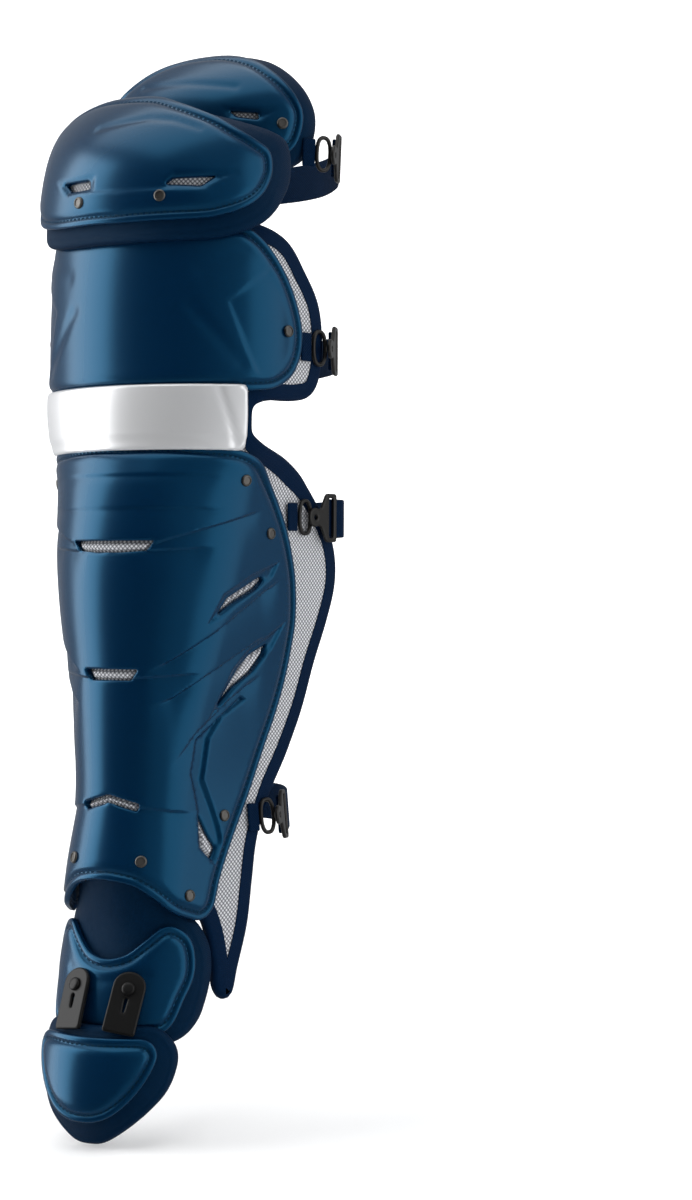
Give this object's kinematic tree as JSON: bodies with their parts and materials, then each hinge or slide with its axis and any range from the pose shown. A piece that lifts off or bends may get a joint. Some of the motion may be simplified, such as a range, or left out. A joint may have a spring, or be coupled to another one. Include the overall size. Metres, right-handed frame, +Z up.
{
  "type": "catcher leg guard",
  "caption": "Worn leg guard for a baseball catcher: knee and thigh caps, long vented shin plate, padded mesh liner, straps with hooks, ankle and toe plates.",
  "frame": {"origin": "front centre of the liner's inner face at mid shin, where the guard sits on the leg", "axes": "+Z up the leg, the front of the guard faces -Y, +X is the side with the hooks"},
  "size_m": [0.1881, 0.2252, 0.6141],
  "materials": {
    "navy_plastic": "glossy moulded navy blue shell",
    "silver_plastic": "satin silver painted plastic",
    "navy_fabric": "dark navy padded cloth with a matte weave",
    "mesh_fabric": "pale grey open mesh cloth over foam",
    "webbing": "navy elastic webbing",
    "dark_metal": "black coated metal, satin",
    "black_rubber": "matte black moulded rubber"
  },
  "bodies": {
    "root": {"ankle_pad": "navy_fabric", "ankle_plate": "navy_plastic", "calf_hook": "dark_metal", "calf_ring": "dark_metal", "calf_strap": "webbing", "calf_tab": "webbing", "heel_hook": "dark_metal", "heel_ring": "dark_metal", "heel_strap": "webbing", "heel_tab": "webbing", "knee_cap": "navy_plastic", "knee_cap_screw_left_1": "dark_metal", "knee_cap_screw_right_1": "dark_metal", "knee_hook": "dark_metal", "knee_pad": "navy_fabric", "knee_plate": "navy_plastic", "knee_plate_screw_left_1": "dark_metal", "knee_plate_screw_right_1": "dark_metal", "knee_ring": "dark_metal", "knee_strap": "webbing", "knee_tab": "webbing", "liner": "mesh_fabric", "liner_binding": "navy_fabric", "rubber_strap_left": "black_rubber", "rubber_strap_right": "black_rubber", "rubber_stud_left": "dark_metal", "rubber_stud_right": "dark_metal", "shin_plate": "navy_plastic", "shin_screw_left_1": "dark_metal", "shin_screw_left_2": "dark_metal", "shin_screw_left_3": "dark_metal", "shin_screw_left_4": "dark_metal", "shin_screw_left_5": "dark_metal", "shin_screw_right_1": "dark_metal", "shin_screw_right_2": "dark_metal", "shin_screw_right_3": "dark_metal", "shin_screw_right_4": "dark_metal", "shin_screw_right_5": "dark_metal", "silver_band": "silver_plastic", "thigh_cap": "navy_plastic", "thigh_hook": "dark_metal", "thigh_pad": "navy_fabric", "thigh_ring": "dark_metal", "thigh_screw_left_1": "dark_metal", "thigh_screw_right_1": "dark_metal", "thigh_strap": "webbing", "thigh_tab": "webbing", "toe_pad": "navy_fabric", "toe_plate": "navy_plastic"}
  },
  "joints": []
}
